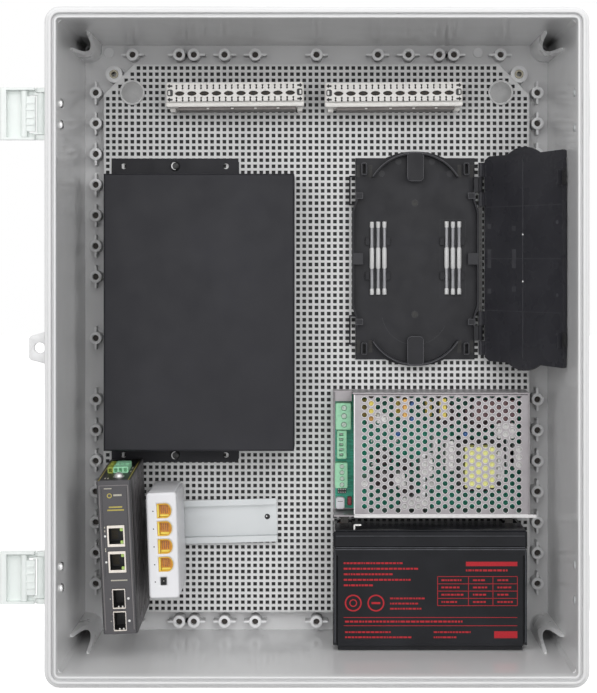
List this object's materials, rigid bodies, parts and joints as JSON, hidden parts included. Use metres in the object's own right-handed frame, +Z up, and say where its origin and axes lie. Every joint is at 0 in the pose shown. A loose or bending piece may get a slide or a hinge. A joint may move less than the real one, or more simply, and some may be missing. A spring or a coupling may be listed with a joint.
{
  "type": "plastic wall enclosure with mounted equipment",
  "caption": "Open plastic wall enclosure with a perforated mounting plate that carries a power supply, battery, splice tray, terminal strips and rail-mounted network devices.",
  "frame": {"origin": "centre of the four wall-fixing holes, on the back face", "axes": "+X to the right, +Y to the back wall, +Z up, seen from the open front"},
  "size_m": [0.4378, 0.17, 0.5],
  "materials": {
    "enclosure_body": "satin light grey moulding",
    "brass": "machined",
    "plate": "light grey powder coat",
    "plate_fixing": "satin grey",
    "latch_plastic": "greenish white",
    "bright_screw": "bright zinc",
    "pin_steel": "turned",
    "strip_plastic": "cream",
    "strip_metal": "rolled",
    "strip_dark": "dark",
    "box_paint": "fine textured black",
    "tray_plastic": "satin black",
    "sleeve": "white",
    "zinc_sheet": "zinc plated",
    "board": "lacquered",
    "green_plastic": "light green",
    "black_plastic": "black",
    "white_relay": "white",
    "red_fuse": "red",
    "yellow_tape": "tape",
    "dark_core": "ferrite",
    "heat_sink": "extruded",
    "can": "sleeved cans",
    "film_yellow": "potted",
    "battery_plastic": "glossy black",
    "tab_metal": "tinned",
    "rail_zinc": "zinc plated",
    "switch_paint": "dark grey powder coat",
    "jack_metal": "plated",
    "clip_steel": "plain",
    "hub_plastic": "white",
    "yellow_plastic": "amber"
  },
  "bodies": {
    "enclosure": {"enclosure_base": "enclosure_body", "enclosure_rim": "enclosure_body", "corner_channels": "enclosure_body", "base_posts": "enclosure_body", "base_bosses": "enclosure_body", "post_inserts": "brass", "mounting_plate": "plate", "plate_fixings": "plate_fixing", "latch_brackets": "latch_plastic", "hinge_leaves": "latch_plastic", "latch_screws": "bright_screw", "hinge_screws": "bright_screw", "plate_screws": "bright_screw", "switch_earth_screw": "bright_screw", "latch_pins": "pin_steel", "hinge_pins": "pin_steel", "strip_body_left": "strip_plastic", "strip_body_right": "strip_plastic", "strip_frame_left": "strip_metal", "strip_frame_right": "strip_metal", "strip_caps": "strip_dark", "box_base": "box_paint", "box_cover": "box_paint", "splice_tray": "tray_plastic", "splice_sleeves": "sleeve", "supply_chassis": "zinc_sheet", "supply_cover": "zinc_sheet", "supply_board": "board", "supply_terminal_input": "green_plastic", "supply_plug": "green_plastic", "supply_terminal_output": "green_plastic", "switch_terminal": "green_plastic", "supply_header": "black_plastic", "hub_socket": "black_plastic", "supply_relay": "white_relay", "supply_fuse": "red_fuse", "supply_transformer": "yellow_tape", "supply_core": "dark_core", "supply_heat_sinks": "heat_sink", "supply_capacitors": "can", "supply_film_capacitors": "film_yellow", "battery_case": "battery_plastic", "battery_lid": "battery_plastic", "battery_tabs": "tab_metal", "mounting_rail": "rail_zinc", "switch_body": "switch_paint", "switch_front": "switch_paint", "switch_jacks": "jack_metal", "switch_cages": "jack_metal", "switch_clip": "clip_steel", "hub_clip": "clip_steel", "hub_body": "hub_plastic", "hub_front": "hub_plastic", "hub_jacks": "yellow_plastic"},
    "latch_lever_top": {"latch_lever_top": "latch_plastic"},
    "latch_claw_top": {"latch_claw_top": "latch_plastic"},
    "latch_lever_bottom": {"latch_lever_bottom": "latch_plastic"},
    "latch_claw_bottom": {"latch_claw_bottom": "latch_plastic"},
    "splice_lid": {"splice_lid": "tray_plastic"}
  },
  "joints": [
    {"name": "latch_lever_top_turn", "type": "hinge", "parent": "enclosure", "child": "latch_lever_top", "pos_m": [-0.2055, -0.145, 0.1725], "axis": [0, 0, 1], "range_deg": [0, 88]},
    {"name": "latch_claw_top_turn", "type": "hinge", "parent": "latch_lever_top", "child": "latch_claw_top", "pos_m": [-0.2178, -0.1468, 0.1725], "axis": [0, 0, 1], "range_deg": [-90, 0]},
    {"name": "latch_lever_bottom_turn", "type": "hinge", "parent": "enclosure", "child": "latch_lever_bottom", "pos_m": [-0.2055, -0.145, -0.1725], "axis": [0, 0, 1], "range_deg": [0, 88]},
    {"name": "latch_claw_bottom_turn", "type": "hinge", "parent": "latch_lever_bottom", "child": "latch_claw_bottom", "pos_m": [-0.2178, -0.1468, -0.1725], "axis": [0, 0, 1], "range_deg": [-90, 0]},
    {"name": "splice_lid_swing", "type": "hinge", "parent": "enclosure", "child": "splice_lid", "pos_m": [0.1325, -0.029, 0.0647], "axis": [0, 0, 1], "range_deg": [-121.5, 0]}
  ]
}
